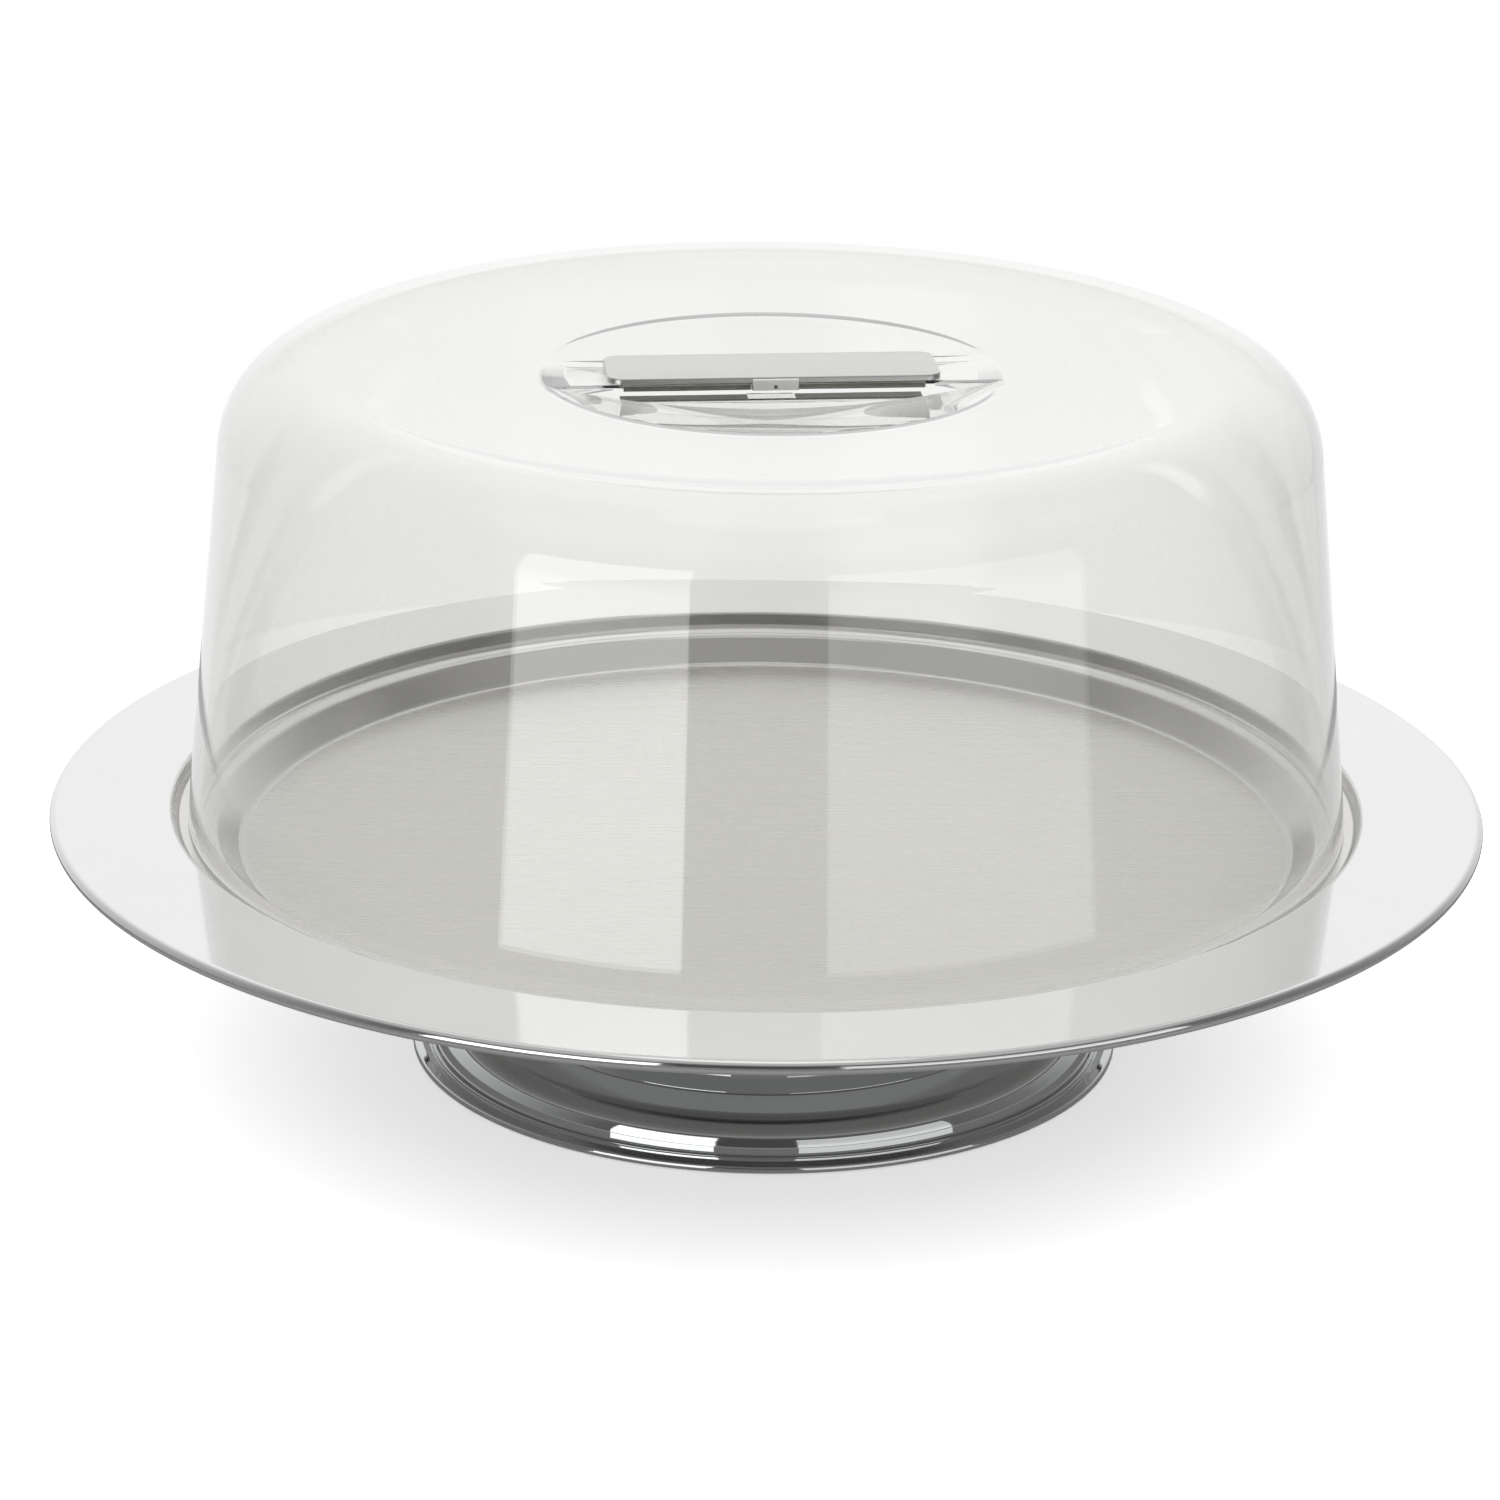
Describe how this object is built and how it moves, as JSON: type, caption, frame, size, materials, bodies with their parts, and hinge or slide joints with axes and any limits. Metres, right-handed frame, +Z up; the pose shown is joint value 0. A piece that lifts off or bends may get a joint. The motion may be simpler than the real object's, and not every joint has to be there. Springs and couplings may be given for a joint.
{
  "type": "cake stand with dome",
  "caption": "Round turning cake stand in pressed steel with a wide flat rim, a sunk brushed disc and a low drum foot, under a clear lift-off dome with a bridged finger dish.",
  "frame": {"origin": "on the table under the centre of the foot", "axes": "+Z up along the turning axis, +X along the bar of the dome's grip"},
  "size_m": [0.38, 0.38, 0.1906],
  "materials": {
    "plate_steel": "polished rim and satin disc, brushed in one direction",
    "foot_steel": "mirror polished stainless steel",
    "foot_rubber": "matte anti-slip ring",
    "inner_steel": "plain zinc-plated steel",
    "bushing_plastic": "unpainted slippery plastic",
    "cage_plastic": "moulded cage",
    "ball_steel": "polished bearing balls",
    "clear_plastic": "clear glossy moulding",
    "bar_steel": "satin, brushed along the bar",
    "pad_rubber": "dark olive bonding pads",
    "clip_plastic": "light clear clip",
    "pin_steel": "dark pins"
  },
  "bodies": {
    "base": {"foot_shell": "foot_steel", "foot_ring": "foot_rubber", "bearing_cup": "inner_steel", "web_stiffener": "inner_steel", "pivot_bushing": "bushing_plastic", "lower_race": "inner_steel", "lower_rivets": "inner_steel"},
    "bearing": {"ball_cage": "cage_plastic", "balls": "ball_steel"},
    "turntable": {"plate": "plate_steel", "hub_disc": "inner_steel", "upper_race": "inner_steel", "upper_rivets": "inner_steel", "pivot_stud": "inner_steel", "slide_washer": "bushing_plastic", "spring_washer": "inner_steel", "lock_nut": "inner_steel"},
    "lid": {"dome": "clear_plastic", "handle_bar": "bar_steel", "bar_pads": "pad_rubber", "handle_clip": "clip_plastic", "clip_pins": "pin_steel"}
  },
  "joints": [
    {"name": "plate_spin", "type": "hinge", "parent": "base", "child": "turntable", "pos_m": [0, 0, 0.0522], "axis": [0, 0, 1], "continuous": true},
    {"name": "cage_spin", "type": "hinge", "parent": "base", "child": "bearing", "pos_m": [0, 0, 0.0522], "axis": [0, 0, 1], "continuous": true},
    {"name": "dome_lift", "type": "slide", "parent": "turntable", "child": "lid", "axis": [0, 0, 1], "range_m": [0, 0.15]}
  ],
  "couplings": [
    {"joint": "cage_spin", "follows": "plate_spin", "ratio": 0.5}
  ]
}
